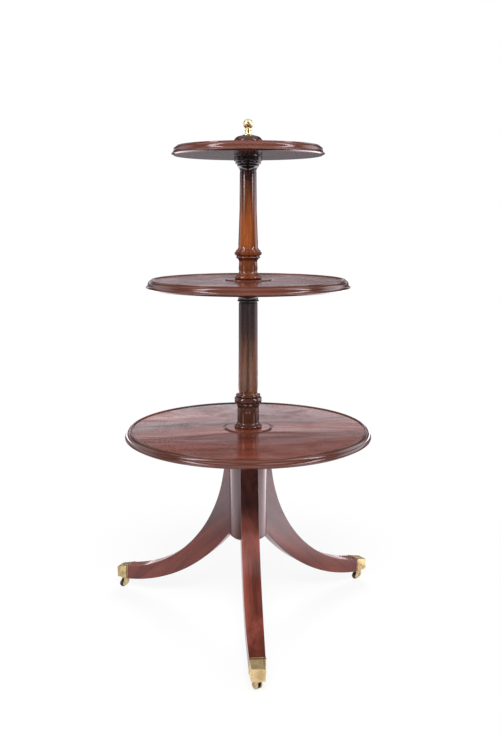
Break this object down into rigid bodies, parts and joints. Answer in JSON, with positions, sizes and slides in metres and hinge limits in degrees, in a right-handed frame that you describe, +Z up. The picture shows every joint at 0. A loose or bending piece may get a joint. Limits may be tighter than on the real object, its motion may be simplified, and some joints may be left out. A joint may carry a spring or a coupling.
{
  "type": "dumbwaiter serving stand",
  "caption": "Tiered serving stand: round dished trays that revolve on a turned column, on splayed sabre legs with brass toe caps and casters.",
  "frame": {"origin": "on the floor, on the axis of the turned column", "axes": "+Z up along the column; the front leg points towards -Y, turned a little towards +X"},
  "size_m": [0.6938, 0.7017, 1.2354],
  "materials": {
    "tray_wood": "polished mahogany",
    "column_wood": "polished mahogany",
    "base_wood": "polished mahogany",
    "cap_brass": "worn polish",
    "caster_brass": "worn polish",
    "finial_brass": "polished",
    "fitting_brass": "plain",
    "steel": "plain",
    "plate_iron": "rough",
    "wheel_iron": "blackened"
  },
  "bodies": {
    "stand": {"hub": "base_wood", "leg_front": "base_wood", "leg_right": "base_wood", "leg_left": "base_wood", "leg_plate": "plate_iron", "plate_screws": "steel", "toe_cap_front": "cap_brass", "toe_cap_right": "cap_brass", "toe_cap_left": "cap_brass", "cap_screws": "cap_brass", "swivel_pin_front": "steel", "swivel_pin_right": "steel", "swivel_pin_left": "steel", "lower_column": "column_wood", "upper_column": "column_wood", "top_cap": "column_wood", "ball_finial": "finial_brass", "finial_stud": "steel", "bottom_washer": "fitting_brass", "middle_washer": "fitting_brass", "top_washer": "fitting_brass"},
    "bottom_tray": {"bottom_tray": "tray_wood", "bottom_bush": "fitting_brass"},
    "middle_tray": {"middle_tray": "tray_wood", "middle_bush": "fitting_brass"},
    "top_tray": {"top_tray": "tray_wood", "top_bush": "fitting_brass"},
    "caster_front": {"caster_horn_front": "caster_brass", "axle_pin_front": "steel"},
    "wheel_front": {"caster_wheel_front": "wheel_iron"},
    "caster_right": {"caster_horn_right": "caster_brass", "axle_pin_right": "steel"},
    "wheel_right": {"caster_wheel_right": "wheel_iron"},
    "caster_left": {"caster_horn_left": "caster_brass", "axle_pin_left": "steel"},
    "wheel_left": {"caster_wheel_left": "wheel_iron"}
  },
  "joints": [
    {"name": "bottom_tray_turn", "type": "hinge", "parent": "stand", "child": "bottom_tray", "pos_m": [0, 0, 0.473], "axis": [0, 0, 1], "continuous": true},
    {"name": "middle_tray_turn", "type": "hinge", "parent": "stand", "child": "middle_tray", "pos_m": [0, 0, 0.84], "axis": [0, 0, 1], "continuous": true},
    {"name": "top_tray_turn", "type": "hinge", "parent": "stand", "child": "top_tray", "pos_m": [0, 0, 1.1515], "axis": [0, 0, 1], "continuous": true},
    {"name": "front_caster_swivel", "type": "hinge", "parent": "stand", "child": "caster_front", "pos_m": [0.02124, -0.37991, 0.0273], "axis": [0, 0, 1], "continuous": true},
    {"name": "front_wheel_roll", "type": "hinge", "parent": "caster_front", "child": "wheel_front", "pos_m": [0.01674, -0.37211, 0.01], "axis": [-0.866, -0.5, 0], "continuous": true},
    {"name": "right_caster_swivel", "type": "hinge", "parent": "stand", "child": "caster_right", "pos_m": [0.31054, 0.21987, 0.0273], "axis": [0, 0, 1], "continuous": true},
    {"name": "right_wheel_roll", "type": "hinge", "parent": "caster_right", "child": "wheel_right", "pos_m": [0.30345, 0.21433, 0.01], "axis": [0.6157, -0.788, 0], "continuous": true},
    {"name": "left_caster_swivel", "type": "hinge", "parent": "stand", "child": "caster_left", "pos_m": [-0.34052, 0.16978, 0.0273], "axis": [0, 0, 1], "continuous": true},
    {"name": "left_wheel_roll", "type": "hinge", "parent": "caster_left", "child": "wheel_left", "pos_m": [-0.34654, 0.16309, 0.01], "axis": [0.7431, -0.6691, 0], "continuous": true}
  ]
}
